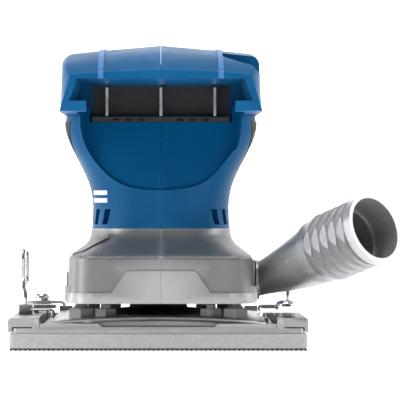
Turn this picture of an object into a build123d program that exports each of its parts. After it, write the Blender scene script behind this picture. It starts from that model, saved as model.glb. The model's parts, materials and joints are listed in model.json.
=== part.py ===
"""Battery palm sander with an orbiting quarter-sheet plate, as an assembly of separate pieces.

Frame: +Z up, the motor shaft is the Z axis, z = 0 is the face of the hook sheet that meets the work.
-Y is the battery end, +Y the front, +X the dust outlet side. All sizes are in millimetres.
"""

import os
from math import cos, pi, radians, sin, sqrt

from build123d import *

# ---------------------------------------------------------------- driving sizes
ORBIT = 1.0                 # eccentric radius: the plate orbits on a circle of twice this
PLATE_X = -ORBIT            # plate centre at rest, one orbit radius off the motor shaft
PAD_W, PAD_D = 113.0, 101.0
Z_HOOK, Z_FOAM, Z_PLATE, Z_RIM = 0.9, 6.5, 8.5, 10.2
PLATE_W, PLATE_D = 110.2, 98.0
HOOD_W, HOOD_D, HOOD_SIDE, HOOD_CROWN = 82.0, 92.0, 11.0, 12.9
Z_CASE, Z_SHOULDER, Z_NECK = 17.5, 35.3, 46.0
CASE_HALF_D = 42.0
WALL = 3.0
Z_GRIP_TOP = 90.0           # underside of the head and of the battery rails
SLOT_END_Y, SLOT_ROOF_Z, RAIL_TOP_Z, RAIL_GAP = -15.0, 102.0, 93.8, 27.7
HEAD_REAR_Y, HEAD_FRONT_Y = -70.0, 55.0
SHAFT_R = 4.0
FIT = 0.04                  # radial clearance of a shaft in a running fit

os.makedirs("parts", exist_ok=True)


def finish(piece, name):
    """Label a finished piece and write its STEP file."""
    piece.part.label = name
    export_step(piece.part, f"parts/{name}.step")


# ---------------------------------------------------------------- blue motor housing
# Plan sections of the neck: height, half width, rear depth, front depth, rear and front corner radius.
NECK = [
    (46.0, 27.2, 29.0, 29.5, 19.0, 19.0),
    (60.0, 27.3, 29.0, 30.0, 16.5, 19.0),
    (70.6, 30.9, 29.6, 34.5, 13.5, 22.0),
    (78.4, 34.8, 30.2, 39.0, 11.5, 25.0),
    (91.0, 36.6, 30.8, 43.0, 10.0, 27.0),
]
# Cross sections of the head: y, low and high half width, underside, side top, crease, ridge, corner radius.
HEAD = [
    (-70.0, 37.6, 33.6, 90.0, 103.3, 104.6, 105.2, 1.0),
    (-63.0, 37.6, 36.2, 90.0, 107.6, 109.0, 109.8, 2.5),
    (-42.0, 37.6, 36.9, 90.0, 112.4, 113.9, 115.4, 3.5),
    (-10.0, 37.2, 36.9, 90.0, 114.4, 115.9, 118.0, 4.0),
    (25.0, 36.0, 34.4, 89.0, 112.8, 114.8, 117.0, 7.0),
    (45.0, 29.5, 27.0, 90.0, 106.5, 109.0, 111.0, 8.0),
    (55.0, 19.0, 16.0, 92.5, 98.5, 100.0, 101.0, 3.0),
]
# The space inside the head, with the same columns.
HEAD_INSIDE = [
    (-50.0, 35.0, 34.0, 93.0, 107.6, 108.8, 110.0, 1.5),
    (-42.0, 35.0, 34.2, 93.0, 109.8, 111.2, 112.6, 3.0),
    (-10.0, 34.6, 34.3, 85.0, 111.8, 113.2, 115.2, 4.0),
    (25.0, 33.4, 31.8, 85.0, 110.2, 112.1, 114.2, 6.0),
    (43.0, 27.0, 24.5, 93.0, 104.2, 106.4, 108.2, 5.0),
    (51.5, 18.0, 15.6, 94.5, 97.6, 98.6, 99.4, 0.6),
]
CREASE = 0.6                # share of the half width at which the side facets of the head begin


def neck_body(inset, low, high):
    """The neck's solid, its sections drawn in by inset."""
    with BuildPart() as neck:
        for z, half, rear, front, rear_corner, front_corner in NECK:
            height = min(max(z, low), high)
            with BuildSketch(Plane.XY.offset(height)) as section:
                with Locations((0, (front - rear) / 2)):
                    Rectangle(2 * (half - inset), rear + front - 2 * inset)
                fillet(section.vertices().group_by(Axis.Y)[0], rear_corner - inset)
                fillet(section.vertices().group_by(Axis.Y)[-1], front_corner - inset)
        loft()
    return neck.part


def head_section(y, low_half, high_half, bottom, side_top, crease_z, ridge_z, corner):
    """One cross section of the head: a low gable with rounded shoulders."""
    with BuildSketch(Plane.XZ.offset(-y)) as section:
        with BuildLine():
            Polyline(
                (-low_half, bottom), (-high_half, side_top), (-CREASE * high_half, crease_z), (0, ridge_z),
                (CREASE * high_half, crease_z), (high_half, side_top), (low_half, bottom), close=True,
            )
        make_face()
        shoulders = section.vertices().filter_by(lambda v: abs(abs(v.X) - high_half) < 1e-6)
        fillet(shoulders, corner)
    return section.sketch


def head_body(sections):
    """The head's solid through a list of cross sections."""
    with BuildPart() as head:
        for section in sections:
            add(head_section(*section))
        loft()
    return head.part


def dish_outline(grow):
    """Half-round outline of the recess behind the neck, grown outwards by grow."""
    top = Z_GRIP_TOP + 6
    right = [
        (14.6 + 0.6 * grow, 61.4 - grow), (21.1 + 0.8 * grow, 65.2 - 0.8 * grow),
        (29.2 + grow, 76.0 - 0.3 * grow),
    ]
    edge = (31.6 + grow, 86.0)
    with BuildSketch(Plane.XZ) as outline:
        with BuildLine():
            Spline(
                (-edge[0], edge[1]), *[(-x, z) for x, z in reversed(right)], (0, 59.5 - grow), *right, edge,
                tangents=[(0.05, -1), (0.05, 1)],
            )
            Polyline(edge, (edge[0], top), (-edge[0], top), (-edge[0], edge[1]))
        make_face()
    return outline.sketch


def dish_cutter(grow, depth):
    """Tapered cutter for the recess: wide at the neck's skin and narrower at its floor."""
    with BuildPart() as cutter:
        add(dish_outline(grow).moved(Location((0, -31.5, 0))))
        add(dish_outline(grow - 2.2).moved(Location((0, depth, 61), (-14, 0, 0)) * Location((0, 0, -61))))
        loft(ruled=True)
        extrude(dish_outline(grow).moved(Location((0, -31.5, 0))), amount=30, dir=(0, -1, 0))
    return cutter.part


def slot_outline(grow):
    """Section of the battery slot, with its two rails, grown into the walls by grow."""
    with BuildSketch(Plane.XZ.offset(-SLOT_END_Y - grow)) as outline:
        with BuildLine():
            right = [
                (RAIL_GAP + (grow and 7.0), 87.5 - grow), (RAIL_GAP + (grow and 7.0),
                RAIL_TOP_Z - (grow and 2.0)),
                (34.0 + grow, RAIL_TOP_Z), (31.0 + grow, SLOT_ROOF_Z + grow),
            ]
            Polyline(*right, *[(-x, z) for x, z in reversed(right)], close=True)
        make_face()
    return outline.sketch


def prism_yz(points, half_width):
    """A prism along X from an outline in the YZ plane."""
    with BuildPart() as prism:
        with BuildSketch(Plane.YZ):
            with BuildLine():
                Polyline(*points, close=True)
            make_face()
        extrude(amount=half_width, both=True)
    return prism.part


GRIP_OUTLINE = [
    (-27.0, 87.6), (-25.0, 83.0), (-21.0, 77.5), (-14.0, 70.0), (-3.0, 63.0), (16.0, 58.0),
    (60.0, 57.0), (60.0, 87.6),
]
DIAL_Y, DIAL_Z, DIAL_R, DIAL_W = 31.0, 80.0, 9.0, 5.0
SWITCH_Z, SWITCH_TRAVEL = 96.6, 4.0

with BuildPart() as shell:
    add(neck_body(0, 46.0, 91.0))
    add(head_body(HEAD))
    with BuildPart(mode=Mode.PRIVATE) as inside:
        add(neck_body(WALL, 45.0, 92.0))
        add(head_body(HEAD_INSIDE))
        with BuildPart(mode=Mode.SUBTRACT):
            extrude(slot_outline(2.2), amount=60)
        add(dish_cutter(2.6, -25.2), mode=Mode.SUBTRACT)
        with BuildSketch(Plane.XY.offset(74.0)):
            Rectangle(90, 100)
        extrude(amount=3.0, mode=Mode.SUBTRACT)
    add(inside.part, mode=Mode.SUBTRACT)


# ---------------------------------------------------------------- openings of the blue housing
HOUSING_SCREWS = [(26.2, 53.5), (-45.0, 107.4), (34.0, 103.0)]   # y, z of screws that run along X
HOLDER_HALF, HOLDER_LOW, HOLDER_HIGH = 26.7, 87.8, 101.8
VENT_LOW, VENT_HIGH = 47.7, 53.6


def vent_planes(side):
    """Places of one side's row of slanted slots, from behind the corner round to the flank."""
    centre = (side * 8.2, -10.0)
    places = []
    for angle in (44.0, 63.0, 82.0):
        a = radians(angle)
        spot = (centre[0] + side * 19 * sin(a), centre[1] - 19 * cos(a), (VENT_LOW + VENT_HIGH) / 2)
        places.append(
            Plane(origin=spot, x_dir=(-side * cos(a), -sin(a), 0), z_dir=(side * sin(a), -cos(a), 0)),
        )
    for y in (-1.0, 5.5):
        places.append(
            Plane(origin=(side * 27.2, y, (VENT_LOW + VENT_HIGH) / 2), x_dir=(0, -1, 0),
            z_dir=(side, 0, 0)),
        )
    return places


with BuildPart() as housing:
    add(shell.part)
    with BuildSketch(Plane.YZ.offset(-30.0)):
        with Locations(*HOUSING_SCREWS):
            Circle(3.5)
    extrude(amount=60.0)
    with BuildPart(mode=Mode.INTERSECT):
        add(neck_body(0, 46.0, 91.0))
        add(head_body(HEAD))
    # rounded strips along the two creases of the head
    raised = [(y, a + 0.3, b + 0.3, c, s + 0.3, k + 0.45, r + 0.45, f) for y, a, b, c, s, k, r, f in HEAD]
    with BuildPart():
        add(head_body(raised))
        with BuildPart(mode=Mode.INTERSECT):
            with Locations((-22.3, -41.0, 108.0), (22.3, -41.0, 108.0)):
                Box(2.1, 56.0, 30.0)
    extrude(slot_outline(0), amount=60, mode=Mode.SUBTRACT)
    add(dish_cutter(0, -28.0), mode=Mode.SUBTRACT)
    # opening for the terminal holder in the slot's end wall
    with Locations((0, -15.0, (HOLDER_LOW + HOLDER_HIGH) / 2)):
        Box(2 * HOLDER_HALF + 0.1, 14.0, HOLDER_HIGH - HOLDER_LOW + 0.1, mode=Mode.SUBTRACT)
    for side in (-1, 1):
        for place in vent_planes(side):
            with BuildSketch(place):
                with BuildLine():
                    up = -3.0 * side
                    Polyline((-2.5, -up), (0.6, -up), (2.5, up), (-0.6, up), close=True)
                make_face()
            extrude(amount=5.0, both=True, mode=Mode.SUBTRACT)
    # slot for the speed wheel, window for the switch, seat of the upper bearing
    with Locations((0, DIAL_Y, DIAL_Z)):
        Cylinder(DIAL_R + 0.6, DIAL_W + 1.0, rotation=(0, 90, 0), mode=Mode.SUBTRACT)
    with Locations((0, 54.0, SWITCH_Z)):
        Box(19.0, 8.0, 4.2, mode=Mode.SUBTRACT)
    with Locations((0, 0, 75.5)):
        Cylinder(9.5, 8.0, mode=Mode.SUBTRACT)
    with BuildSketch(Plane.YZ.offset(-40.0)):
        with Locations(*HOUSING_SCREWS):
            Circle(2.6)
    extrude(amount=31.0, mode=Mode.SUBTRACT)
    with BuildSketch(Plane.YZ.offset(-40.0)):
        with Locations(*HOUSING_SCREWS):
            Circle(1.5)
    extrude(amount=50.0, mode=Mode.SUBTRACT)
    # scoop in the right shoulder of the head, with an upright floor
    with BuildSketch(Plane.XZ.offset(80.0)):
        with BuildLine():
            Polyline(
                (23.1, 110.9), (23.1, 116), (45, 116), (45, 104.4), (36.4, 104.4), (34.0, 107.3),
                (30.7, 108.2), close=True,
            )
        make_face()
    extrude(amount=-29.2, mode=Mode.SUBTRACT)

with BuildPart() as grip_band:
    add(neck_body(-0.35, 46.0, 91.0))
    add(neck_body(1.3, 45.0, 92.0), mode=Mode.SUBTRACT)
    add(prism_yz(GRIP_OUTLINE, 60.0), mode=Mode.INTERSECT)
    with Locations((0, DIAL_Y, DIAL_Z)):
        Box(12.0, 40.0, 24.0, mode=Mode.SUBTRACT)

halves = (("left", -1), ("right", 1))
for word, side in halves:
    with BuildPart() as housing_half:
        add(housing.part)
        with Locations((side * 50.05, 0, 80.0)):
            Box(100.0, 200.0, 120.0, mode=Mode.INTERSECT)
        add(grip_band.part, mode=Mode.SUBTRACT)
    finish(housing_half, f"housing_{word}")
    with BuildPart() as grip_half:
        add(grip_band.part)
        with Locations((side * 50.05, 0, 80.0)):
            Box(100.0, 200.0, 120.0, mode=Mode.INTERSECT)
    finish(grip_half, f"grip_{word}")


# ---------------------------------------------------------------- silver lower casing
# Height, half width, half depth and corner radius of the flare, from the shoulder up to the neck.
FLARE = [
    (Z_SHOULDER, 35.4, 41.4, 9.8),
    (37.7, 32.3, 37.2, 11.5),
    (39.3, 30.2, 33.9, 13.5),
    (42.0, 28.1, 30.7, 16.5),
    (Z_NECK, 27.5, 29.5, 19.0),
]
CASE_WALL, CASE_FLOOR = 2.6, 20.0
PORT = Vector(36.9, -7.0, 25.9)
TUBE_START = Vector(61.3, -33.2, 37.2)
TUBE_AXIS = Vector(0.648, -0.700, 0.313).normalized()
TUBE_LEN, TUBE_R, BORE_R = 30.0, 12.3, 11.9
FOOT_SPOTS = [(-29.8, -31.0), (29.8, -31.0), (-28.6, 31.0), (28.6, 31.0)]   # from the plate's centre
CASE_SCREWS = [(35.6, 31.2), (-30.6, 31.2)]      # y, z of screws that run along X


def case_body(inset, floor):
    """The casing's solid: straight walls, then a concave flare up to the neck."""
    with BuildPart() as body:
        for z, half, depth, corner in ((floor, 36.0, CASE_HALF_D, 10.0), FLARE[0]):
            with BuildSketch(Plane.XY.offset(z)):
                RectangleRounded(2 * (half - inset), 2 * (depth - inset), corner - inset)
        loft()
        for z, half, depth, corner in FLARE:
            with BuildSketch(Plane.XY.offset(z)):
                RectangleRounded(2 * (half - inset), 2 * (depth - inset), corner - inset)
        loft()
    return body.part


def band(y_sign):
    """The hat-shaped proud panel on one end wall of the casing, as a prism."""
    with BuildPart() as prism:
        with BuildSketch(Plane.XZ):
            with BuildLine():
                Polyline(
                    (-60, 10), (-60, 21.6), (-19, 21.6), (-13.2, 30.0), (13.2, 30.0), (19, 21.6),
                    (60, 21.6), (60, 10),
                    close=True,
                )
            make_face()
        extrude(amount=-60 * y_sign)
    return prism.part


with BuildPart() as case:
    add(case_body(0, Z_CASE))
    fillet(case.edges().filter_by(lambda e: abs(e.center().Z - Z_SHOULDER) < 1e-3), 2.2)
    # proud lower band: 0.6 thicker than the walls above it
    with BuildPart():
        with BuildSketch(Plane.XY.offset(Z_CASE)):
            RectangleRounded(73.2, 2 * CASE_HALF_D + 1.2, 10.6)
        extrude(amount=14.0)
        with BuildPart(mode=Mode.INTERSECT):
            add(band(1))
            add(band(-1))
    with Locations((-36.2, 2.0, 23.7)):
        Box(1.2, 44.0, 10.6)
    add(case_body(CASE_WALL, CASE_FLOOR), mode=Mode.SUBTRACT)
    # ledge for the bearing plate, floor opening for the drive, pockets over the feet
    with BuildSketch(Plane.XY.offset(41.0)):
        RectangleRounded(52.0, 56.0, 15.0)
        Circle(22.0, mode=Mode.SUBTRACT)
    extrude(amount=1.5)
    with Locations((0, 0, 18.5)):
        Cylinder(9.2, 4.0, mode=Mode.SUBTRACT)
    with Locations(*[(PLATE_X + x + ORBIT, y, 21.0) for x, y in FOOT_SPOTS]):
        Cylinder(7.5, 6.0)
    with BuildPart(mode=Mode.INTERSECT):
        add(case_body(-1.3, Z_CASE))
    for x, y in FOOT_SPOTS:
        with Locations((PLATE_X + x + ORBIT, y, 17.0)):
            Cylinder(5.6, 11.0, mode=Mode.SUBTRACT)
    # flat seat and opening for the dust outlet, bosses for the screws
    with Locations((34.4, PORT.Y, PORT.Z)):
        Box(4.4, 31.0, 15.4)
    with BuildSketch(Plane.YZ.offset(-23.0)):
        with Locations(*CASE_SCREWS):
            Circle(3.6)
    extrude(amount=46.0)
    with Locations((0, -35.4, 31.2)):
        Box(46.0, 9.0, 3.0)
    with BuildSketch(Plane(origin=(30.0, PORT.Y, PORT.Z), x_dir=(0, 1, 0), z_dir=(1, 0, 0))):
        RectangleRounded(24.2, 10.6, 4.0)
    extrude(amount=10.0, mode=Mode.SUBTRACT)
    with BuildSketch(Plane.YZ.offset(-45.0)):
        with Locations(*CASE_SCREWS):
            Circle(2.6)
    extrude(amount=37.0, mode=Mode.SUBTRACT)
    with BuildSketch(Plane.YZ.offset(-45.0)):
        with Locations(*CASE_SCREWS):
            Circle(1.5)
    extrude(amount=54.0, mode=Mode.SUBTRACT)
    # fin that rises along the left shoulder
    with BuildPart():
        with BuildSketch(Plane.XZ.offset(26.0)):
            with BuildLine():
                Polyline(
                    (-20.0, 42.9), (-20.6, 43.9), (-24.0, 43.2), (-34.3, 36.6), (-33.6, 35.6),
                    (-25.0, 40.4), close=True,
                )
            make_face()
        extrude(amount=8.0)
        add(case_body(-1.2, Z_CASE), mode=Mode.INTERSECT)

for word, side in halves:
    with BuildPart() as casing_half:
        add(case.part)
        with Locations((side * 50.05, 0, 30.0)):
            Box(100.0, 200.0, 80.0, mode=Mode.INTERSECT)
    finish(casing_half, f"casing_{word}")


# ---------------------------------------------------------------- dust outlet
def across(direction, origin):
    """Plane square to a direction, its x axis level."""
    d = Vector(direction)
    return Plane(origin=origin, x_dir=(-d.Y, d.X, 0), z_dir=d)


DUCT = [
    ((1, 0, 0), (37.2, PORT.Y, PORT.Z), 27.0, 13.4, 5.0),
    ((0.86, -0.48, 0.18), (46.5, -14.6, 28.6), 25.4, 15.0, 7.2),
    (TUBE_AXIS, TUBE_START + TUBE_AXIS * 1.5, 2 * TUBE_R - 1.0, 2 * TUBE_R - 1.0, TUBE_R - 0.8),
]


def duct_body(inset):
    """The duct from the flat port to the round tube."""
    with BuildPart() as duct:
        for direction, origin, width, height, corner in DUCT:
            with BuildSketch(across(direction, origin)):
                RectangleRounded(width - 2 * inset, height - 2 * inset, corner - inset)
        loft()
    return duct.part


with BuildPart() as dust_outlet:
    add(duct_body(0))
    with BuildSketch(Plane(origin=(37.2, PORT.Y, PORT.Z), x_dir=(0, 1, 0), z_dir=(1, 0, 0))):
        RectangleRounded(30.0, 15.0, 5.6)
    extrude(amount=1.3)
    with BuildSketch(Plane(origin=TUBE_START, x_dir=TUBE_AXIS, z_dir=(TUBE_AXIS.Y, -TUBE_AXIS.X, 0))):
        with BuildLine():
            teeth = []
            for k in range(5):
                teeth += [(3.0 + 4.5 * k, TUBE_R), (6.9 + 4.5 * k, 13.4), (7.35 + 4.5 * k, TUBE_R)]
            Polyline(
                (-0.5, 0), (-0.5, TUBE_R), *teeth, (26.6, 13.5), (TUBE_LEN, 13.5), (TUBE_LEN, 0),
                close=True,
            )
        make_face()
    revolve(axis=Axis(TUBE_START, TUBE_AXIS), revolution_arc=360)
    # flat left by the mould across the crests of the ribs
    flat_way = Vector(-0.62, -0.66, 0.12)
    flat_way = (flat_way - TUBE_AXIS * flat_way.dot(TUBE_AXIS)).normalized()
    with BuildSketch(
        Plane(origin=TUBE_START + TUBE_AXIS * 14 + flat_way * 12.45, x_dir=TUBE_AXIS, z_dir=flat_way),
    ):
        Rectangle(23.6, 30.0)
    extrude(amount=4.0, mode=Mode.SUBTRACT)
    add(duct_body(1.6), mode=Mode.SUBTRACT)
    with BuildSketch(Plane(origin=(36.0, PORT.Y, PORT.Z), x_dir=(0, 1, 0), z_dir=(1, 0, 0))):
        RectangleRounded(24.2, 10.6, 3.6)
    extrude(amount=1.3, mode=Mode.SUBTRACT)
    with BuildSketch(across(TUBE_AXIS, TUBE_START - TUBE_AXIS * 0.6)):
        Circle(TUBE_R - 1.4)
    extrude(amount=TUBE_LEN + 1, mode=Mode.SUBTRACT)
    with BuildSketch(across(TUBE_AXIS, TUBE_START + TUBE_AXIS * 18)):
        Circle(BORE_R)
    extrude(amount=TUBE_LEN, mode=Mode.SUBTRACT)
finish(dust_outlet, "dust_outlet")

with BuildPart() as outlet_seal:
    with BuildSketch(Plane(origin=(36.6, PORT.Y, PORT.Z), x_dir=(0, 1, 0), z_dir=(1, 0, 0))):
        RectangleRounded(28.6, 14.0, 5.0)
        RectangleRounded(24.2, 10.6, 3.6, mode=Mode.SUBTRACT)
    extrude(amount=0.6)
finish(outlet_seal, "outlet_seal")


# ---------------------------------------------------------------- orbiting plate
DUST_HOLES = [(u, v) for v in (-29.0, 29.0) for u in (-34.0, 0.0, 34.0)]
HUB_R, HUB_TOP, BEARING_LOW = 11.0, 14.3, 9.0
NUT_SPOTS = [(-20.3, -31.0), (20.3, -31.0), (-19.4, 31.0), (19.4, 31.0)]
PLATE = Location((PLATE_X, 0, 0))

with BuildPart() as hook_sheet:
    with BuildSketch():
        with Locations((PLATE_X, 0)):
            RectangleRounded(PAD_W, PAD_D, 2.0)
            with Locations(*DUST_HOLES):
                Circle(4.0, mode=Mode.SUBTRACT)
    extrude(amount=Z_HOOK)
finish(hook_sheet, "hook_sheet")

with BuildPart() as foam_pad:
    with BuildSketch(Plane.XY.offset(Z_HOOK)):
        with Locations((PLATE_X, 0)):
            RectangleRounded(PAD_W, PAD_D, 2.0)
            with Locations(*DUST_HOLES):
                Circle(4.0, mode=Mode.SUBTRACT)
    extrude(amount=Z_FOAM - Z_HOOK)
finish(foam_pad, "foam_pad")

PLATE_SCREWS = [(-36.0, -40.0), (36.0, -40.0), (-36.0, 40.0), (36.0, 40.0)]
with BuildPart() as base_plate:
    with BuildSketch(Plane.XY.offset(Z_FOAM)):
        with Locations((PLATE_X, 0)):
            RectangleRounded(PLATE_W, PLATE_D, 1.5)
    extrude(amount=Z_PLATE - Z_FOAM)
    # stepped rims along the two long edges, two ribs behind the far one
    for y in (-49.0, 47.0):
        with BuildSketch(Plane.XZ.offset(-y - 2.0)):
            with BuildLine():
                Polyline(
                    (-45.8, 8.0), (-45.8, Z_RIM), (-23.5, Z_RIM), (-22.3, 9.0), (20.3, 9.0), (21.5, Z_RIM),
                    (43.8, Z_RIM), (43.8, 8.0), close=True,
                )
            make_face()
        extrude(amount=2.0)
    with Locations((PLATE_X - 38.7, 47.9, 10.5), (PLATE_X + 38.7, 47.9, 10.5)):
        Box(5.4, 1.8, 5.0)
    # ears that carry the clamp rods, and the posts of the two clamp springs
    for u in (-46.4, 46.4):
        for y in (-48.6, 48.6):
            with Locations((PLATE_X + u, y, 10.3)):
                Box(2.8, 0.8, 4.6)
    for sign in (-1, 1):
        with Locations((PLATE_X + sign * 42.2, -sign * 20.0, 9.6)):
            Box(1.3, 7.4, 3.4)
    with Locations(*[(PLATE_X + u, v, 7.0) for u, v in DUST_HOLES]):
        Cylinder(4.0, 6.0, mode=Mode.SUBTRACT)
    with Locations(*[(PLATE_X + u, v, 7.0) for u, v in FOOT_SPOTS + PLATE_SCREWS]):
        Cylinder(1.5, 6.0, mode=Mode.SUBTRACT)
    with Locations(*[(PLATE_X + u, v, Z_FOAM + 0.6) for u, v in FOOT_SPOTS + PLATE_SCREWS]):
        Cylinder(2.9, 1.2, mode=Mode.SUBTRACT)
    with Locations((PLATE_X, 0, Z_PLATE)):
        Cylinder(6.4, 1.2, mode=Mode.SUBTRACT)
    for u in (-46.4, 46.4):
        with Locations((PLATE_X + u, 0, 11.2)):
            Cylinder(1.0, 120.0, rotation=(90, 0, 0), mode=Mode.SUBTRACT)
finish(base_plate, "base_plate")

with BuildPart() as dust_hood:
    with BuildSketch(Plane.XZ.offset(-HOOD_D / 2)):
        with BuildLine():
            Polyline(
                (PLATE_X - 41, HOOD_SIDE), (PLATE_X - 41, Z_PLATE), (PLATE_X + 41, Z_PLATE),
                (PLATE_X + 41, HOOD_SIDE),
            )
            ThreePointArc((PLATE_X - 41, HOOD_SIDE), (PLATE_X, HOOD_CROWN), (PLATE_X + 41, HOOD_SIDE))
        make_face()
    extrude(amount=HOOD_D)
    crown = dust_hood.edges().filter_by(
        lambda e: abs(abs(e.center().Y) - HOOD_D / 2) < 0.01 and e.center().Z > 12,
    )
    fillet(crown, 1.9)
    with BuildPart(mode=Mode.SUBTRACT):
        with BuildSketch(Plane.XY.offset(Z_PLATE)):
            with Locations((PLATE_X, 0)):
                RectangleRounded(HOOD_W - 3.6, HOOD_D - 8.0, 2.0)
                with Locations(*FOOT_SPOTS, *PLATE_SCREWS, *NUT_SPOTS):
                    Circle(3.4, mode=Mode.SUBTRACT)
                Circle(HUB_R, mode=Mode.SUBTRACT)
        extrude(amount=1.3)
    with Locations((PLATE_X, 0, (Z_PLATE + HUB_TOP) / 2)):
        Cylinder(HUB_R, HUB_TOP - Z_PLATE)
    with Locations((PLATE_X, 0, BEARING_LOW + 5)):
        Cylinder(8.0, 10.0, mode=Mode.SUBTRACT)
    with Locations((PLATE_X, 0, Z_PLATE)):
        Cylinder(6.6, 4.0, mode=Mode.SUBTRACT)
    with Locations(*[(PLATE_X + u, v, 11.0) for u, v in FOOT_SPOTS + PLATE_SCREWS]):
        Cylinder(1.5, 8.0, mode=Mode.SUBTRACT)
finish(dust_hood, "dust_hood")

with BuildPart() as plate_screws:
    for u, v in PLATE_SCREWS:
        with Locations((PLATE_X + u, v, Z_FOAM)):
            Cylinder(1.5, 4.2, align=(Align.CENTER, Align.CENTER, Align.MIN))
            Cylinder(2.9, 1.2, align=(Align.CENTER, Align.CENTER, Align.MIN))
            Cylinder(1.0, 0.7, align=(Align.CENTER, Align.CENTER, Align.MIN), mode=Mode.SUBTRACT)
finish(plate_screws, "plate_screws")

# ---------------------------------------------------------------- elastic feet between plate and casing
HOOD_R = (41**2 + (HOOD_CROWN - HOOD_SIDE)**2) / (2 * (HOOD_CROWN - HOOD_SIDE))


def hood_height(u):
    """Height of the hood's arched top at a distance u from the plate's centre."""
    return HOOD_CROWN - HOOD_R + sqrt(HOOD_R**2 - u**2)


for number, (u, v) in enumerate(FOOT_SPOTS, start=1):
    seat = hood_height(abs(u) + 5.2)
    with BuildPart() as elastic_foot:
        with BuildSketch(Plane.XY.offset(seat)):
            with Locations((PLATE_X + u, v)):
                RegularPolygon(5.2, 6, rotation=30)
        extrude(amount=15.3 - seat)
        with BuildSketch(Plane.XZ.offset(-v)):
            with BuildLine():
                Polyline((PLATE_X + u, 15.0), (PLATE_X + u + 3.2, 15.0), (PLATE_X + u + 3.2, 15.5))
                Spline(
                    (PLATE_X + u + 3.2, 15.5), (PLATE_X + u + 2.0, 17.2), (PLATE_X + u + 2.9, 21.5),
                )
                Polyline((PLATE_X + u + 2.9, 21.5), (PLATE_X + u, 21.5), (PLATE_X + u, 15.0))
            make_face()
        revolve(axis=Axis((PLATE_X + u, v, 0), (0, 0, 1)), revolution_arc=360)
        with BuildPart(mode=Mode.SUBTRACT):
            with BuildSketch(Plane.XZ.offset(HOOD_D / 2)):
                with BuildLine():
                    Polyline(
                        (PLATE_X - 41, HOOD_SIDE), (PLATE_X - 41, 2), (PLATE_X + 41, 2),
                        (PLATE_X + 41, HOOD_SIDE),
                    )
                    ThreePointArc(
                        (PLATE_X - 41, HOOD_SIDE), (PLATE_X, HOOD_CROWN), (PLATE_X + 41, HOOD_SIDE),
                    )
                make_face()
            extrude(amount=-HOOD_D)
        with Locations((PLATE_X + u, v, 12.0)):
            Cylinder(1.5, 4.4, mode=Mode.SUBTRACT)
    finish(elastic_foot, f"elastic_foot_{number}")

with BuildPart() as foot_screws:
    for u, v in FOOT_SPOTS:
        with Locations((PLATE_X + u, v, Z_FOAM)):
            Cylinder(1.5, 7.6, align=(Align.CENTER, Align.CENTER, Align.MIN))
            Cylinder(2.9, 1.2, align=(Align.CENTER, Align.CENTER, Align.MIN))
            Cylinder(1.0, 0.7, align=(Align.CENTER, Align.CENTER, Align.MIN), mode=Mode.SUBTRACT)
finish(foot_screws, "foot_screws")

with BuildPart() as stop_nuts:
    for u, v in NUT_SPOTS:
        seat = hood_height(abs(u) + 4.4)
        with BuildSketch(Plane.XY.offset(seat)):
            with Locations((PLATE_X + u, v)):
                RegularPolygon(4.6, 6, rotation=30)
        extrude(amount=15.2 - seat)
        with Locations((PLATE_X + u, v, 16.0)):
            Cylinder(1.9, 1.6)
    with BuildPart(mode=Mode.SUBTRACT):
        with BuildSketch(Plane.XZ.offset(HOOD_D / 2)):
            with BuildLine():
                Polyline(
                    (PLATE_X - 41, HOOD_SIDE), (PLATE_X - 41, 2), (PLATE_X + 41, 2),
                    (PLATE_X + 41, HOOD_SIDE),
                )
                ThreePointArc((PLATE_X - 41, HOOD_SIDE), (PLATE_X, HOOD_CROWN), (PLATE_X + 41, HOOD_SIDE))
            make_face()
        extrude(amount=-HOOD_D)
finish(stop_nuts, "stop_nuts")

with BuildPart() as drive_boot:
    with BuildSketch(Plane.XZ):
        with BuildLine():
            Polyline((10.0, 14.4), (10.0, 17.1), (11.4, 17.1), (11.4, 15.4))
            Spline((11.4, 15.4), (13.4, 14.3), (17.5, 13.7), (21.5, 13.6), tangents=[(0, -1), (1, 0)])
            Polyline(
                (21.5, 13.6), (22.0, 13.2), (22.0, HOOD_CROWN + 0.02), (11.2, HOOD_CROWN + 0.02),
                (11.2, 14.4), (10.0, 14.4),
            )
        make_face()
    revolve(axis=Axis.Z, revolution_arc=360)
drive_boot.part.position = (PLATE_X, 0, 0)
finish(drive_boot, "drive_boot")


# ---------------------------------------------------------------- sheet clamps
# Drawn for the left end of the plate: u is the distance outwards from the plate's centre, so x = PLATE_X - u.
ROD_U, ROD_Z, ROD_R, WIRE_R = 46.4, 11.2, 1.0, 1.0
LEVER_U, STEM_V = 52.6, -12.3
STRAP_U, STRAP_V = 48.45, 41.5
HALF_TURN = Location((2 * PLATE_X, 0, 0)) * Location((0, 0, 0), (0, 0, 180))


def at_left(u, z):
    """Point of the left clamp's side view, in the XZ plane."""
    return (PLATE_X - u, z)


def finish_pair(piece, name):
    """Write a left clamp piece, and its copy turned half way round for the right end."""
    piece.part.label = f"{name}_left"
    export_step(piece.part, f"parts/{name}_left.step")
    with BuildPart() as turned:
        add(piece.part.moved(HALF_TURN))
    finish(turned, f"{name}_right")


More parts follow.
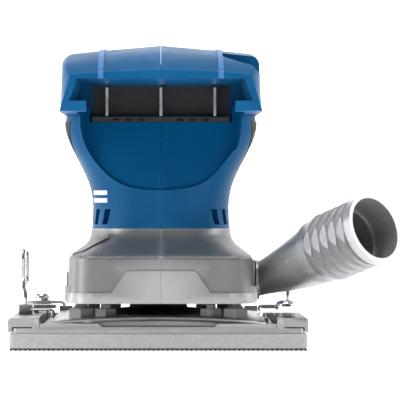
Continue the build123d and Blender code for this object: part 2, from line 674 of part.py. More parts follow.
with BuildPart() as clamp_jaw:
    with BuildSketch(Plane.XZ.offset(-47.9)) as jaw_profile:
        with BuildLine():
            Polyline(*[at_left(u, z) for u, z in (
                (45.3, 9.6), (45.3, 12.4), (56.2, 12.4), (57.0, 11.6), (57.0, 7.4), (56.6, 6.8),
                (55.9, 6.8), (55.5, 7.2),
                (55.5, 8.9), (46.0, 8.9),
            )], close=True)
        make_face()
        fillet(jaw_profile.vertices().filter_by(lambda p: p.Z > 12.3 or p.X < PLATE_X - 56), 0.35)
    extrude(amount=95.8)
    with Locations((PLATE_X - 52.2, STEM_V, 14.2)):
        Box(4.9, 8.4, 3.8)
    # short tongue at the middle and boss under the strap
    with Locations((PLATE_X - 48.6, 0.5, 13.9)):
        Box(1.8, 6.0, 3.2)
    with Locations((PLATE_X - 45.2, 0.5, 14.8)):
        Box(8.6, 6.0, 1.4)
    with Locations((PLATE_X - STRAP_U, STRAP_V, 13.3)):
        Cylinder(3.75, 2.0)
    with Locations((PLATE_X - ROD_U, 0, ROD_Z)):
        Cylinder(ROD_R + 0.05, 120.0, rotation=(90, 0, 0), mode=Mode.SUBTRACT)
    with Locations((PLATE_X - STRAP_U, STRAP_V, 13.8)):
        Cylinder(1.4, 2.4, mode=Mode.SUBTRACT)
    for v in (-1.2, 1.2):
        with Locations((PLATE_X - LEVER_U, STEM_V + v, 15.2)):
            Cylinder(WIRE_R, 3.0, mode=Mode.SUBTRACT)
finish_pair(clamp_jaw, "clamp_jaw")

with BuildPart() as jaw_rod:
    with Locations((PLATE_X - ROD_U, 0, ROD_Z)):
        Cylinder(ROD_R, 99.4, rotation=(90, 0, 0))
finish_pair(jaw_rod, "jaw_rod")

with BuildPart() as clamp_lever:
    with BuildLine() as lever_path:
        x = PLATE_X - LEVER_U
        FilletPolyline(
            (x, STEM_V + 1.2, 13.9), (x, STEM_V + 1.2, 21.0), (x, 0.0, 24.5), (x, 0.0, 37.6),
            (x, -27.0, 37.6),
            (x, -27.0, 24.5), (x, STEM_V - 1.2, 21.0), (x, STEM_V - 1.2, 13.9), radius=3.2,
        )
    with BuildSketch(Plane(origin=lever_path.line @ 0, z_dir=lever_path.line % 0)):
        Circle(WIRE_R)
    sweep(path=lever_path.line)
finish_pair(clamp_lever, "clamp_lever")

with BuildPart() as clamp_strap:
    with BuildSketch(Plane.XZ.offset(-STRAP_V - 4.0)) as strap_profile:
        with BuildLine():
            Polyline(*[at_left(u, z) for u, z in (
                (54.3, 14.3), (54.3, 15.5), (39.9, 15.5), (38.5, 14.6), (38.5, 12.9), (39.7, 12.9),
                (39.7, 14.0), (40.3, 14.3),
            )], close=True)
        make_face()
    extrude(amount=8.0)
    with Locations((PLATE_X - STRAP_U, STRAP_V, 15.0)):
        Cylinder(1.4, 5.0, mode=Mode.SUBTRACT)
finish_pair(clamp_strap, "clamp_strap")

with BuildPart() as strap_screw:
    with Locations((PLATE_X - STRAP_U, STRAP_V, 15.5)):
        Cylinder(3.7, 3.3, align=(Align.CENTER, Align.CENTER, Align.MIN))
        fillet(strap_screw.edges().group_by(Axis.Z)[-1], 2.2)
    with Locations((PLATE_X - STRAP_U, STRAP_V, 12.7)):
        Cylinder(1.4, 3.0, align=(Align.CENTER, Align.CENTER, Align.MIN))
    with BuildSketch(Plane.XY.offset(17.4)):
        with Locations((PLATE_X - STRAP_U, STRAP_V)):
            RegularPolygon(1.3, 6)
    extrude(amount=3.0, mode=Mode.SUBTRACT)
finish_pair(strap_screw, "strap_screw")

with BuildPart() as clamp_spring:
    with BuildLine() as coil_path:
        Helix(pitch=0.85, height=5.1, radius=1.35, center=(0, 0, 0), direction=(0, 0, 1))
    with BuildSketch(Plane(origin=coil_path.line @ 0, z_dir=coil_path.line % 0)):
        Circle(0.36)
    sweep(path=coil_path.line)
clamp_spring.part.orientation = (90, 0, 0)
clamp_spring.part.position = (PLATE_X - 42.2, -17.5, 13.0)
with BuildPart() as clamp_spring_whole:
    add(clamp_spring.part)
    for v in (-17.5, -22.6):
        with Locations((PLATE_X - 46.0, v, 14.35)):
            Cylinder(0.36, 7.6, rotation=(0, 90, 0))
finish_pair(clamp_spring_whole, "clamp_spring")


# ---------------------------------------------------------------- drive train on the motor shaft
BEARING_PLATE_LOW, BEARING_PLATE_TOP = 42.5, 45.4
LOWER_BEARING = (38.6, 7.0, 11.0)       # bottom, width, outer radius
UPPER_BEARING = (74.2, 5.0, 9.5)


def bearing(bottom, width, outer, bore, centre_x=0.0):
    """Ball bearing drawn as one ring with a groove between its races on both faces."""
    with BuildPart() as body:
        with BuildSketch(Plane.XY.offset(bottom)):
            with Locations((centre_x, 0)):
                Circle(outer)
                Circle(bore, mode=Mode.SUBTRACT)
        extrude(amount=width)
        middle = (outer + bore) / 2
        for z in (bottom, bottom + width - 0.5):
            with BuildSketch(Plane.XY.offset(z)):
                with Locations((centre_x, 0)):
                    Circle(middle + 0.8)
                    Circle(middle - 0.8, mode=Mode.SUBTRACT)
            extrude(amount=0.5, mode=Mode.SUBTRACT)
    return body


finish(bearing(*LOWER_BEARING, SHAFT_R + FIT), "lower_bearing")
finish(bearing(*UPPER_BEARING, SHAFT_R + FIT), "upper_bearing")
finish(bearing(BEARING_LOW, 5.0, 8.0, SHAFT_R + FIT, PLATE_X), "eccentric_bearing")

with BuildPart() as bearing_plate:
    with BuildSketch(Plane.XY.offset(BEARING_PLATE_LOW)):
        RectangleRounded(49.0, 52.0, 14.5)
    extrude(amount=BEARING_PLATE_TOP - BEARING_PLATE_LOW)
    with Locations((0, 0, 41.7)):
        Cylinder(14.0, 7.4)
    with Locations((0, 0, 42.0)):
        Cylinder(LOWER_BEARING[2], 7.0, mode=Mode.SUBTRACT)
    with Locations((0, 0, 42.0)):
        Cylinder(8.0, 12.0, mode=Mode.SUBTRACT)
    with PolarLocations(18.0, 6):
        with BuildSketch(Plane.XY.offset(BEARING_PLATE_LOW)):
            Circle(2.6)
    extrude(amount=3.0, mode=Mode.SUBTRACT)
finish(bearing_plate, "bearing_plate")

with BuildPart() as motor_shaft:
    with Locations((0, 0, 16.6)):
        Cylinder(SHAFT_R, 65.4, align=(Align.CENTER, Align.CENTER, Align.MIN))
        chamfer(motor_shaft.edges().group_by(Axis.Z)[-1], 0.6)
finish(motor_shaft, "motor_shaft")

with BuildPart() as eccentric_hub:
    with Locations((0, 0, 14.6)):
        Cylinder(7.4, 6.4, align=(Align.CENTER, Align.CENTER, Align.MIN))
    with Locations((0, 0, 16.6)):
        Cylinder(SHAFT_R, 6.0, align=(Align.CENTER, Align.CENTER, Align.MIN), mode=Mode.SUBTRACT)
    with Locations((PLATE_X, 0, 8.3)):
        Cylinder(SHAFT_R, 6.3, align=(Align.CENTER, Align.CENTER, Align.MIN))
    with Locations((PLATE_X, 0, 8.65)):
        Cylinder(SHAFT_R, 0.35, align=(Align.CENTER, Align.CENTER, Align.MIN), mode=Mode.SUBTRACT)
        Cylinder(SHAFT_R - 0.5, 0.35, align=(Align.CENTER, Align.CENTER, Align.MIN))
finish(eccentric_hub, "eccentric_hub")

with BuildPart() as bearing_circlip:
    with BuildSketch(Plane.XY.offset(8.66)):
        with Locations((PLATE_X, 0)):
            Circle(5.4)
            Circle(SHAFT_R - 0.5, mode=Mode.SUBTRACT)
        with Locations((PLATE_X + 5.0, 0)):
            Rectangle(4.0, 2.4, mode=Mode.SUBTRACT)
    extrude(amount=0.3)
finish(bearing_circlip, "bearing_circlip")

with BuildPart() as counterweight:
    with BuildSketch(Plane.XY.offset(21.0)):
        Circle(19.0)
        with Locations((-12.0, 0)):
            Rectangle(24.0, 40.0, mode=Mode.SUBTRACT)
        Circle(7.6)
        Circle(SHAFT_R, mode=Mode.SUBTRACT)
    extrude(amount=4.0)
finish(counterweight, "counterweight")

FAN_LOW, FAN_R = 26.0, 26.0
with BuildPart() as cooling_fan:
    with BuildSketch(Plane.XY.offset(FAN_LOW)):
        Circle(FAN_R)
    extrude(amount=1.4)
    with Locations((0, 0, FAN_LOW)):
        Cylinder(7.0, 9.0, align=(Align.CENTER, Align.CENTER, Align.MIN))
    with BuildSketch(Plane.XY.offset(FAN_LOW + 1.4)):
        with PolarLocations(0, 16):
            with Locations((16.4, 3.0)):
                Rectangle(17.5, 1.1, rotation=18)
        Circle(FAN_R - 0.4, mode=Mode.INTERSECT)
    extrude(amount=6.6)
    with Locations((0, 0, FAN_LOW - 1)):
        Cylinder(SHAFT_R, 20.0, align=(Align.CENTER, Align.CENTER, Align.MIN), mode=Mode.SUBTRACT)
finish(cooling_fan, "cooling_fan")

STATOR_LOW, STATOR_TOP, STATOR_R, TEETH = 51.5, 68.5, 21.6, 6
with BuildPart() as stator_core:
    with BuildSketch(Plane.XY.offset(STATOR_LOW)):
        Circle(STATOR_R)
        Circle(18.6, mode=Mode.SUBTRACT)
        with PolarLocations(0, TEETH):
            with Locations((15.0, 0)):
                Rectangle(8.0, 4.4)
            with Locations((11.5, 0)):
                Rectangle(1.6, 8.4)
        Circle(10.8, mode=Mode.SUBTRACT)
    extrude(amount=STATOR_TOP - STATOR_LOW)
finish(stator_core, "stator_core")

with BuildPart() as stator_windings:
    with BuildSketch(Plane.XY.offset(STATOR_LOW - 2.2)):
        with PolarLocations(0, TEETH):
            with Locations((15.3, 0)):
                RectangleRounded(4.6, 9.0, 1.4)
    extrude(amount=STATOR_TOP - STATOR_LOW + 4.4)
    with BuildSketch(Plane.XY.offset(STATOR_LOW)):
        with PolarLocations(0, TEETH):
            with Locations((15.0, 0)):
                Rectangle(9.0, 4.4)
    extrude(amount=STATOR_TOP - STATOR_LOW, mode=Mode.SUBTRACT)
finish(stator_windings, "stator_windings")

with BuildPart() as stator_insulator:
    for z, height in ((STATOR_LOW - 3.2, 3.2), (STATOR_TOP, 5.5)):
        with BuildSketch(Plane.XY.offset(z)):
            Circle(STATOR_R)
            Circle(18.8, mode=Mode.SUBTRACT)
        extrude(amount=height)
    with BuildSketch(Plane.XY.offset(STATOR_TOP + 4.0)):
        Circle(19.0)
        Circle(12.0, mode=Mode.SUBTRACT)
    extrude(amount=1.5)
finish(stator_insulator, "stator_insulator")

with BuildPart() as rotor_core:
    with BuildSketch(Plane.XY.offset(STATOR_LOW)):
        Circle(8.6)
        Circle(SHAFT_R, mode=Mode.SUBTRACT)
    extrude(amount=STATOR_TOP - STATOR_LOW)
finish(rotor_core, "rotor_core")
with BuildPart() as rotor_magnets:
    with BuildSketch(Plane.XY.offset(STATOR_LOW + 0.5)):
        Circle(10.4)
        Circle(8.6, mode=Mode.SUBTRACT)
        with PolarLocations(9.5, 4, start_angle=45):
            Rectangle(4.0, 0.8, mode=Mode.SUBTRACT)
    extrude(amount=STATOR_TOP - STATOR_LOW - 1.0)
finish(rotor_magnets, "rotor_magnets")


# ---------------------------------------------------------------- battery terminals and electronics
with BuildPart() as terminal_holder:
    with Locations((0, -11.5, (HOLDER_LOW + HOLDER_HIGH) / 2)):
        Box(2 * HOLDER_HALF, 7.0, HOLDER_HIGH - HOLDER_LOW)
    with Locations((0, -18.5, 88.6)):
        Box(2 * HOLDER_HALF, 7.2, 2.0)
    with Locations(*[(x, -22.0, 88.6) for x in (-17.5, -12.5, -7.6, 7.6, 12.5, 17.5)]):
        Box(2.5, 3.0, 1.1, mode=Mode.SUBTRACT)
    with Locations(*[(x, -11.5, 95.4) for x in (-21.0, 0.0, 21.0)]):
        Box(1.04, 9.0, 11.04, mode=Mode.SUBTRACT)
    for x, z in ((-14.0, 100.6), (14.0, 100.6), (-4.6, 99.5), (4.6, 99.5)):
        with Locations((x, -15.0, z)):
            Box(5.0, 0.5, 0.5, mode=Mode.SUBTRACT)
finish(terminal_holder, "terminal_holder")

with BuildPart() as contact_blades:
    for x in (-21.0, 0.0, 21.0):
        with Locations((x, -15.5, 95.4)):
            Box(1.0, 17.0, 11.0)
finish(contact_blades, "contact_blades")

with BuildPart() as control_board:
    with Locations((0, -6.2, 95.0)):
        Box(50.0, 1.6, 26.0)
    with Locations(*[(x, -7.0, 95.4) for x in (-21.0, 0.0, 21.0)]):
        Box(1.02, 3.0, 11.02, mode=Mode.SUBTRACT)
finish(control_board, "control_board")

with BuildPart() as board_components:
    for x, z, width, height, depth in (
        (-14.0, 100.0, 9.0, 6.0, 5.0), (-2.5, 101.0, 7.0, 5.0, 1.6), (9.0, 100.5, 8.0, 8.0, 2.2),
        (-12.0, 89.0, 6.0, 6.0, 3.0), (3.0, 88.5, 10.0, 6.0, 1.8), (15.0, 89.0, 7.0, 7.0, 4.0),
    ):
        with Locations((x, -5.4 + depth / 2, z)):
            Box(width, depth, height)
    with Locations((-19.5, -0.4, 88.0)):
        Cylinder(3.0, 10.0, rotation=(90, 0, 0))
finish(board_components, "board_components")


# ---------------------------------------------------------------- switch and speed wheel
with BuildPart() as switch_button:
    with Locations((-SWITCH_TRAVEL / 2, 55.2, SWITCH_Z)):
        Box(13.4, 2.0, 3.6)
    with Locations((-SWITCH_TRAVEL / 2, 53.2, SWITCH_Z)):
        Box(9.0, 3.0, 3.0)
    with Locations(*[(-SWITCH_TRAVEL / 2 + 2.0 * k, 56.2, SWITCH_Z) for k in range(-2, 3)]):
        Box(0.9, 0.8, 3.0)
finish(switch_button, "switch_button")

with BuildPart() as switch_body:
    with Locations((0, 46.6, 97.0)):
        Box(18.0, 7.0, 4.4)
    with Locations((0, 41.4, 97.0)):
        Box(16.0, 4.0, 8.0)
finish(switch_body, "switch_body")

with BuildPart() as speed_dial:
    with BuildSketch(Plane.YZ.offset(-DIAL_W / 2)):
        with Locations((DIAL_Y, DIAL_Z)):
            Circle(DIAL_R)
            with PolarLocations(DIAL_R, 24):
                Circle(0.55, mode=Mode.SUBTRACT)
            Circle(1.5 + 0.05, mode=Mode.SUBTRACT)
            with Locations((-4.5, 0)):
                Circle(0.8, mode=Mode.SUBTRACT)
    extrude(amount=DIAL_W)
finish(speed_dial, "speed_dial")

with BuildPart() as dial_base:
    for side in (-1, 1):
        with Locations((side * 4.0, DIAL_Y - 4.5, DIAL_Z)):
            Box(1.4, 14.0, 5.9)
    with Locations((0, DIAL_Y - 11.5, DIAL_Z)):
        Box(9.4, 1.4, 5.9)
    with Locations((0, DIAL_Y, DIAL_Z)):
        Cylinder(1.5, 9.0, rotation=(0, 90, 0))
finish(dial_base, "dial_base")


# ---------------------------------------------------------------- screws of the two housings, blank label
def long_screws(places, name):
    """Screws along X whose heads sit deep in the left half."""
    with BuildPart() as screws:
        for y, z in places:
            with Locations((-9.0, y, z)):
                Cylinder(1.5, 18.0, rotation=(0, 90, 0), align=(Align.CENTER, Align.CENTER, Align.MIN))
            with Locations((-11.4, y, z)):
                Cylinder(2.5, 2.4, rotation=(0, 90, 0), align=(Align.CENTER, Align.CENTER, Align.MIN))
                Cylinder(
                    1.1, 1.4, rotation=(0, 90, 0), align=(Align.CENTER, Align.CENTER, Align.MIN),
                    mode=Mode.SUBTRACT,
                )
    finish(screws, name)


long_screws(HOUSING_SCREWS, "housing_screws")
long_screws(CASE_SCREWS, "casing_screws")

with BuildPart() as label_plate:
    add(neck_body(-0.12, 46.0, 91.0))
    add(neck_body(0, 45.0, 92.0), mode=Mode.SUBTRACT)
    with BuildPart(mode=Mode.INTERSECT):
        with Locations((-23.6, -24.0, 57.0), (-23.6, -24.0, 60.0)):
            Box(5.4, 14.0, 1.7)
finish(label_plate, "label_plate")
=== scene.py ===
"""Battery palm sander: materials, foam pad, hook sheet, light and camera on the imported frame."""

from math import cos, pi, radians, sin

import bpy
import bmesh
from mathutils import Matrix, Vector
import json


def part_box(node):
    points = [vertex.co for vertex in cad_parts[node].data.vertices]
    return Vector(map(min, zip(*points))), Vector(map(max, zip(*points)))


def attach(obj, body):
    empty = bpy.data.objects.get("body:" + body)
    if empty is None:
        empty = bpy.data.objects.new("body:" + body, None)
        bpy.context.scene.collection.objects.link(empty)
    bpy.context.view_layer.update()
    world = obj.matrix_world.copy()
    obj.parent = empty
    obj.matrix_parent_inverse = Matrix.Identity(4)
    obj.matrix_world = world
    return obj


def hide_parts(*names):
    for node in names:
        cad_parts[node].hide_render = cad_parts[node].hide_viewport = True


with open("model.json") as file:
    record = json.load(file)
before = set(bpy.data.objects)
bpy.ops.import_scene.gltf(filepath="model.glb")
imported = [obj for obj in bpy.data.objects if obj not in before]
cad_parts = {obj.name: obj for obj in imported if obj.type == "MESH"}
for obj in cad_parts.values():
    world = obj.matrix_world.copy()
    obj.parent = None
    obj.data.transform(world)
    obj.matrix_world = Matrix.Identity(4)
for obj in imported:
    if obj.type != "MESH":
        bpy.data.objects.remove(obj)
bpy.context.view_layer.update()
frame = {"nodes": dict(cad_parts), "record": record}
nodes = frame["nodes"]

# the painted highlight along the two raised ridges of the head: middle from the tool's own middle plane,
# half width, lowest height
STRIP_X, STRIP_HALF, STRIP_LOW_Z = 0.0223, 0.0011, 0.1004


# ------------------------------------------------------------------ materials
def linear(r, g, b):
    """An sRGB colour, 0 to 255, as linear RGBA."""
    out = []
    for c in (r, g, b):
        c = c / 255
        out.append(c / 12.92 if c <= 0.04045 else ((c + 0.055) / 1.055) ** 2.4)
    return (*out, 1.0)


class Maker:
    """A principled material with a few helpers for procedural detail."""

    def __init__(self, name, rough=0.5, metal=0.0, **sockets):
        self.mat = bpy.data.materials.new(name)
        self.mat.use_nodes = True
        self.tree = self.mat.node_tree
        self.shader = self.tree.nodes["Principled BSDF"]
        self.shader.inputs["Roughness"].default_value = rough
        self.shader.inputs["Metallic"].default_value = metal
        for key, value in sockets.items():
            self.shader.inputs[key.replace("_", " ")].default_value = value
        self.coord = self.tree.nodes.new("ShaderNodeTexCoord").outputs["Object"]
        self.normal = None

    def node(self, kind, **values):
        made = self.tree.nodes.new(kind)
        for key, value in values.items():
            if hasattr(made, key):
                setattr(made, key, value)
            else:
                made.inputs[key].default_value = value
        return made

    def noise(self, scale, detail=3.0, stretch=None):
        made = self.node("ShaderNodeTexNoise", Scale=scale, Detail=detail)
        source = self.coord
        if stretch:
            mapping = self.node("ShaderNodeMapping", Scale=stretch)
            self.tree.links.new(source, mapping.inputs["Vector"])
            source = mapping.outputs["Vector"]
        self.tree.links.new(source, made.inputs["Vector"])
        return made.outputs["Fac"]

    def cells(self, scale, feature="F1"):
        made = self.node("ShaderNodeTexVoronoi", feature=feature, Scale=scale)
        self.tree.links.new(self.coord, made.inputs["Vector"])
        return made.outputs["Distance"]

    def spread(self, source, low, high, out_low, out_high):
        made = self.node("ShaderNodeMapRange")
        for key, value in (("From Min", low), ("From Max", high), ("To Min", out_low), ("To Max", out_high)):
            made.inputs[key].default_value = value
        self.tree.links.new(source, made.inputs["Value"])
        return made.outputs["Result"]

    def colour(self, source, dark, light, low=0.35, high=0.65):
        ramp = self.node("ShaderNodeValToRGB")
        ramp.color_ramp.elements[0].position, ramp.color_ramp.elements[1].position = low, high
        ramp.color_ramp.elements[0].color, ramp.color_ramp.elements[1].color = dark, light
        self.tree.links.new(source, ramp.inputs["Fac"])
        self.tree.links.new(ramp.outputs["Color"], self.shader.inputs["Base Color"])
        return ramp

    def edges(self, source_ramp, highlight_colour, amount=0.35):
        """Painted highlight: convex edges a little lighter."""
        geometry = self.node("ShaderNodeNewGeometry")
        edge_lit = self.spread(geometry.outputs["Pointiness"], 0.52, 0.60, 0.0, amount)
        mix = self.node("ShaderNodeMix", data_type="RGBA")
        self.tree.links.new(edge_lit, mix.inputs[0])
        self.tree.links.new(source_ramp.outputs["Color"], mix.inputs[6])
        mix.inputs[7].default_value = highlight_colour
        self.tree.links.new(mix.outputs[2], self.shader.inputs["Base Color"])

    def math(self, operation, first, second):
        made = self.node("ShaderNodeMath", operation=operation)
        self.tree.links.new(first, made.inputs[0])
        if isinstance(second, (int, float)):
            made.inputs[1].default_value = second
        else:
            self.tree.links.new(second, made.inputs[1])
        return made.outputs[0]

    def strips(self, highlight_colour):
        """Painted highlight: the two raised ridges along the head are painted lighter, on their outer side
        only.
        """
        place = self.node("ShaderNodeSeparateXYZ")
        self.tree.links.new(self.coord, place.inputs[0])
        facing = self.node("ShaderNodeSeparateXYZ")
        self.tree.links.new(self.node("ShaderNodeTexCoord").outputs["Normal"], facing.inputs[0])
        aside = self.math("ABSOLUTE", place.outputs[0], 0)
        off = self.math("ABSOLUTE", self.math("SUBTRACT", aside, STRIP_X), 0)
        inside = self.spread(off, 0.8 * STRIP_HALF, STRIP_HALF, 0.6, 0)
        high = self.spread(place.outputs[2], STRIP_LOW_Z, STRIP_LOW_Z + 0.0004, 0, 1)
        outer = self.spread(facing.outputs[2], -0.4, -0.2, 0, 1)
        highlight_mask = self.math("MULTIPLY", self.math("MULTIPLY", inside, high), outer)
        below = self.shader.inputs["Base Color"].links[0].from_socket
        mix = self.node("ShaderNodeMix", data_type="RGBA")
        self.tree.links.new(highlight_mask, mix.inputs[0])
        self.tree.links.new(below, mix.inputs[6])
        mix.inputs[7].default_value = highlight_colour
        self.tree.links.new(mix.outputs[2], self.shader.inputs["Base Color"])

    def rough(self, source, low, high):
        self.tree.links.new(self.spread(source, 0.3, 0.7, low, high), self.shader.inputs["Roughness"])

    def bump(self, source, strength, distance):
        made = self.node("ShaderNodeBump", Strength=strength, Distance=distance)
        self.tree.links.new(source, made.inputs["Height"])
        if self.normal:
            self.tree.links.new(self.normal, made.inputs["Normal"])
        self.normal = made.outputs["Normal"]
        self.tree.links.new(self.normal, self.shader.inputs["Normal"])


def plastic(name, dark, light, rough=(0.34, 0.46), grain=2600, depth=0.00003, strips=False, **sockets):
    m = Maker(name, **sockets)
    ramp = m.colour(m.noise(38, 4), dark, light)
    # convex edges painted lighter as a highlight
    m.edges(ramp, tuple(min(1, 1.9 * c + 0.02) for c in light[:3]) + (1,), 0.25)
    # painted highlight colour along the two raised ridges of the head
    if strips:
        m.strips(linear(96, 142, 205))
    m.rough(m.noise(90, 5), *rough)
    m.bump(m.noise(grain, 2), 0.35, depth)
    m.bump(m.noise(420, 2), 0.12, depth)
    return m.mat


def metal(
    name, dark, light, rough=(0.3, 0.42), grain=1500, depth=0.00004, stretch=None, metallic=1.0, **sockets
):
    m = Maker(name, metal=metallic, **sockets)
    ramp = m.colour(m.noise(grain, 4, stretch), dark, light, 0.3, 0.7)
    # convex edges painted near white as a highlight
    m.edges(ramp, (0.85, 0.85, 0.87, 1), 0.4)
    m.rough(m.noise(160, 5, stretch), *rough)
    m.bump(m.noise(grain, 3, stretch), 0.3, depth)
    return m.mat


def rubber(name, dark, light, grain=1400, depth=0.00008):
    m = Maker(name, rough=0.7, Specular_IOR_Level=0.35)
    m.colour(m.noise(160, 5), dark, light)
    m.rough(m.noise(220, 4), 0.6, 0.8)
    m.bump(m.cells(grain), 0.35, depth)
    return m.mat


materials = {
    "body_blue": plastic(
        "blue_shell", linear(0, 77, 121), linear(0, 84, 132), strips=True, Specular_IOR_Level=0.15
    ),
    "grip_rubber": rubber("grip_rubber", linear(58, 52, 46), linear(78, 71, 64)),
    "cast_silver": metal(
        "silver_casing", linear(130, 130, 131), linear(148, 148, 148), (0.34, 0.44), 2400, 0.00002,
        metallic=0.6,
    ),
    "outlet_silver": metal(
        "silver_outlet", linear(150, 151, 153), linear(172, 173, 175), (0.30, 0.42), 2000, 0.00001,
        metallic=0.6,
    ),
    "black_plastic": plastic("black_plastic", linear(24, 25, 26), linear(33, 34, 35), (0.45, 0.6)),
    "bright_metal": metal(
        "bright_steel", linear(214, 214, 214), linear(240, 240, 240),
        (0.10, 0.20), 900, 0.00001,
    ),
    "plate_metal": metal(
        "plate_aluminium", linear(108, 108, 109), linear(128, 128, 128),
        (0.32, 0.46), 900, 0.00001, (0.15, 1, 1),
    ),
    "steel": metal(
        "plain_steel", linear(130, 130, 132), linear(170, 170, 172),
        (0.28, 0.4), 1200, 0.00002,
    ),
    "boot_rubber": rubber("boot_rubber", linear(16, 16, 17), linear(30, 30, 31)),
    "foot_rubber": plastic("foot_elastomer", linear(128, 128, 130), linear(156, 156, 158), (0.3, 0.42)),
    "copper": metal(
        "winding_copper", linear(150, 78, 44), linear(206, 120, 78),
        (0.3, 0.42), 1500, 0.0001, (1, 1, 6),
    ),
    "board_green": plastic("board_green", linear(14, 60, 32), linear(20, 80, 44)),
    "label_white": plastic("print_white", linear(222, 226, 232), linear(240, 243, 247)),
    "blade_metal": metal(
        "blade_nickel", linear(150, 152, 154), linear(200, 201, 203),
        (0.22, 0.34), 1200, 0.00001,
    ),
}
slot_of = {entry["node"]: entry["material_slot"] for entry in frame["record"]["subparts"]}
for name, piece in nodes.items():
    if slot_of.get(name) in materials:
        for holder in piece.material_slots:
            holder.material = materials[slot_of[name]]

foam = Maker("foam_grey", rough=0.85, Subsurface_Weight=0.05)
foam.colour(foam.noise(900, 4), linear(166, 166, 168), linear(182, 182, 184), 0.3, 0.7)
foam.bump(foam.cells(2200), 0.25, 0.00005)
hooks = Maker("hook_black", rough=0.75, Sheen_Weight=0.2)
hooks.colour(hooks.noise(1200, 4), linear(10, 10, 11), linear(34, 34, 36))
hooks.bump(hooks.cells(900), 0.7, 0.0003)


# ------------------------------------------------------------------ foam pad and hook sheet
def plate_with_holes(name, low, high, holes, edge, low_z, high_z, corner=0.0025):
    """A rounded slab with round holes, its rims softened."""
    arc_steps, hole_steps = 6, 40
    curve = bpy.data.curves.new(name, "CURVE")
    curve.dimensions, curve.fill_mode = "2D", "BOTH"
    curve.extrude = (high_z - low_z) / 2 - edge
    curve.bevel_depth, curve.bevel_resolution, curve.offset = edge, 3, -edge
    corners = [
        (high[0] - corner, high[1] - corner, 0), (low[0] + corner, high[1] - corner, 1),
        (low[0] + corner, low[1] + corner, 2), (high[0] - corner, low[1] + corner, 3),
    ]
    outline = [
        (
            x + corner * cos(pi / 2 * (turn + k / arc_steps)),
            y + corner * sin(pi / 2 * (turn + k / arc_steps)),
        )
        for x, y, turn in corners
        for k in range(arc_steps + 1)
    ]
    rings = [outline] + [
        [
            (x + r * cos(2 * pi * k / hole_steps), y + r * sin(2 * pi * k / hole_steps))
            for k in range(hole_steps)
        ]
        for x, y, r in holes
    ]
    for points in rings:
        spline = curve.splines.new("POLY")
        spline.points.add(len(points) - 1)
        for point, (x, y) in zip(spline.points, points):
            point.co = (x, y, 0, 1)
        spline.use_cyclic_u = True
    drawn = bpy.data.objects.new(name + "_curve", curve)
    bpy.context.scene.collection.objects.link(drawn)
    bpy.context.view_layer.update()
    mesh = bpy.data.meshes.new_from_object(drawn.evaluated_get(bpy.context.evaluated_depsgraph_get()))
    bpy.data.objects.remove(drawn)
    for vertex in mesh.vertices:
        vertex.co.z += (low_z + high_z) / 2
    piece = bpy.data.objects.new(name, mesh)
    bpy.context.scene.collection.objects.link(piece)
    return piece


# dust holes of the pad: radius, and spacing from its middle; rounded rim; gap under the base plate
HOLE_R, HOLE_ACROSS, HOLE_ALONG = 0.004, 0.034, 0.029
PAD_RIM, PAD_GAP = 0.0007, 0.00005
low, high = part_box("foam_pad")
middle = ((low[0] + high[0]) / 2, (low[1] + high[1]) / 2)
dust = [
    (middle[0] + u, middle[1] + v, HOLE_R)
    for u in (-HOLE_ACROSS, 0.0, HOLE_ACROSS)
    for v in (-HOLE_ALONG, HOLE_ALONG)
]
pad = plate_with_holes("foam_pad_soft", low, high, dust, PAD_RIM, low[2], high[2] - PAD_GAP)
pad.data.materials.append(foam.mat)
for face in pad.data.polygons:
    face.use_smooth = abs(face.normal.z) < 0.99
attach(pad, "pad")
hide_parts("foam_pad")

# hooks: height, half width, spacing, distance from the sheet's edge, radius kept clear round a dust hole
HOOK_TALL, HOOK_HALF, HOOK_PITCH, HOOK_EDGE, HOOK_CLEAR_R = 0.0004, 0.00042, 0.0018, 0.0007, 0.005
hook_low, hook_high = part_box("hook_sheet")
sheet = plate_with_holes(
    "hook_layer",
    (hook_low[0] + HOOK_TALL, hook_low[1] + HOOK_TALL),
    (hook_high[0] - HOOK_TALL, hook_high[1] - HOOK_TALL),
    dust, 0.00015, hook_low[2] + HOOK_TALL, hook_high[2],
)
mesh = bmesh.new()
mesh.from_mesh(sheet.data)
half_w, half_d = (hook_high[0] - hook_low[0]) / 2, (hook_high[1] - hook_low[1]) / 2


def stub(x, y, size):
    """One hook: a four-sided stem that narrows to the work."""
    top, foot, narrowing = hook_low[2] + 0.0006, hook_low[2], 0.45
    signs = ((-1, -1), (1, -1), (1, 1), (-1, 1))
    ring = [mesh.verts.new((x + sx * size, y + sy * size, top)) for sx, sy in signs]
    tips = [
        mesh.verts.new((x + sx * size * narrowing, y + sy * size * narrowing, foot)) for sx, sy in signs
    ]
    for k in range(4):
        mesh.faces.new((ring[k], ring[(k + 1) % 4], tips[(k + 1) % 4], tips[k]))
    mesh.faces.new(tips)


count_x, count_y = int(2 * half_w / HOOK_PITCH), int(2 * half_d / HOOK_PITCH)
for i in range(count_x + 1):
    for j in range(count_y + 1):
        x = middle[0] - half_w + HOOK_EDGE + i * 2 * (half_w - HOOK_EDGE) / count_x
        y = middle[1] - half_d + HOOK_EDGE + j * 2 * (half_d - HOOK_EDGE) / count_y
        if all((x - hx) ** 2 + (y - hy) ** 2 > HOOK_CLEAR_R ** 2 for hx, hy, _ in dust):
            stub(x, y, HOOK_HALF)
mesh.to_mesh(sheet.data)
mesh.free()
sheet.data.materials.append(hooks.mat)
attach(sheet, "pad")
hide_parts("hook_sheet")


# ------------------------------------------------------------------ floor, light and camera
def plane(name, corners, material):
    """One staging face from its four corners."""
    mesh = bpy.data.meshes.new(name)
    mesh.from_pydata(corners, [], [(0, 1, 2, 3)])
    made = bpy.data.objects.new(name, mesh)
    bpy.context.scene.collection.objects.link(made)
    made.data.materials.append(material)
    return made


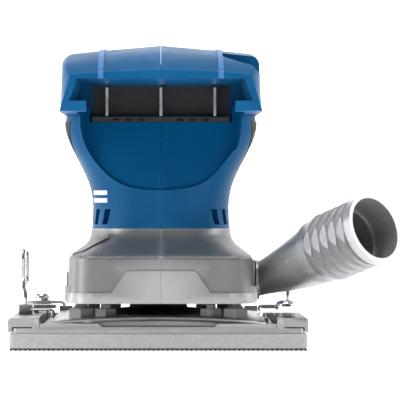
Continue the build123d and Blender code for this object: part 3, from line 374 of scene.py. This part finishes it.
def glowing(name, shade, strength, rough=0.5):
    """A pale material that gives off a little light of its own."""
    made = bpy.data.materials.new(name)
    made.use_nodes = True
    inputs = made.node_tree.nodes["Principled BSDF"].inputs
    inputs["Base Color"].default_value = (shade, shade, shade, 1)
    inputs["Roughness"].default_value = rough
    inputs["Emission Color"].default_value = (1, 1, 1, 1)
    inputs["Emission Strength"].default_value = strength
    return made


# floor and backdrop: half width, nearest and farthest depth, height
ROOM_W, ROOM_NEAR, ROOM_FAR, ROOM_H = 4, -3, 1.6, 4
plane(
    "floor",
    [(-ROOM_W, ROOM_NEAR, 0), (ROOM_W, ROOM_NEAR, 0), (ROOM_W, ROOM_FAR, 0), (-ROOM_W, ROOM_FAR, 0)],
    glowing("floor_pale", 0.88, 0.55, 0.9),
)
plane(
    "backdrop",
    [(-ROOM_W, ROOM_FAR, 0), (ROOM_W, ROOM_FAR, 0), (ROOM_W, ROOM_FAR, ROOM_H), (-ROOM_W, ROOM_FAR, ROOM_H)],
    glowing("backdrop_white", 0.9, 0.95),
)


def softbox(name, place, target, size, power):
    """A rectangular area light at a place, turned to a target."""
    lamp = bpy.data.lights.new(name, "AREA")
    lamp.shape, lamp.size, lamp.size_y = "RECTANGLE", size[0], size[1]
    lamp.energy = power
    made = bpy.data.objects.new(name, lamp)
    made.location = place
    made.rotation_euler = (Vector(target) - Vector(place)).to_track_quat("-Z", "Y").to_euler()
    bpy.context.scene.collection.objects.link(made)


softbox("top_box", (0, -0.25, 1.1), (0, 0, 0.08), (1.0, 0.8), 10.2)
softbox("left_box", (-0.95, -0.60, 0.42), (0, 0, 0.06), (0.35, 0.8), 5.6)
softbox("left_rim", (-0.95, 0.20, 0.35), (0, 0, 0.06), (0.4, 0.8), 3.4)
softbox("right_box", (0.95, -0.02, 0.4), (0, 0, 0.06), (0.5, 0.9), 4.6)
softbox("front_box", (-0.25, -1.3, 0.85), (0, 0, 0.05), (0.5, 0.4), 0.3)

world = bpy.data.worlds.new("studio")
world.use_nodes = True
world.node_tree.nodes["Background"].inputs["Color"].default_value = (0.9, 0.93, 1.0, 1)
world.node_tree.nodes["Background"].inputs["Strength"].default_value = 0.08
bpy.context.scene.world = world

SENSOR_MM, LENS_MM, SHIFT = 36.0, 209.0, 0.1076
CAMERA_BACK, CAMERA_HIGH = 0.950, 0.0552
lens = bpy.data.cameras.new("view")
lens.sensor_width, lens.lens, lens.shift_x = SENSOR_MM, LENS_MM, SHIFT
lens.clip_start, lens.clip_end = 0.05, 20
camera = bpy.data.objects.new("view", lens)
camera.location = (0.0, -CAMERA_BACK, CAMERA_HIGH)
camera.rotation_euler = (radians(90), 0, 0)
bpy.context.scene.collection.objects.link(camera)
bpy.context.scene.camera = camera
bpy.context.scene.view_settings.view_transform = "Standard"
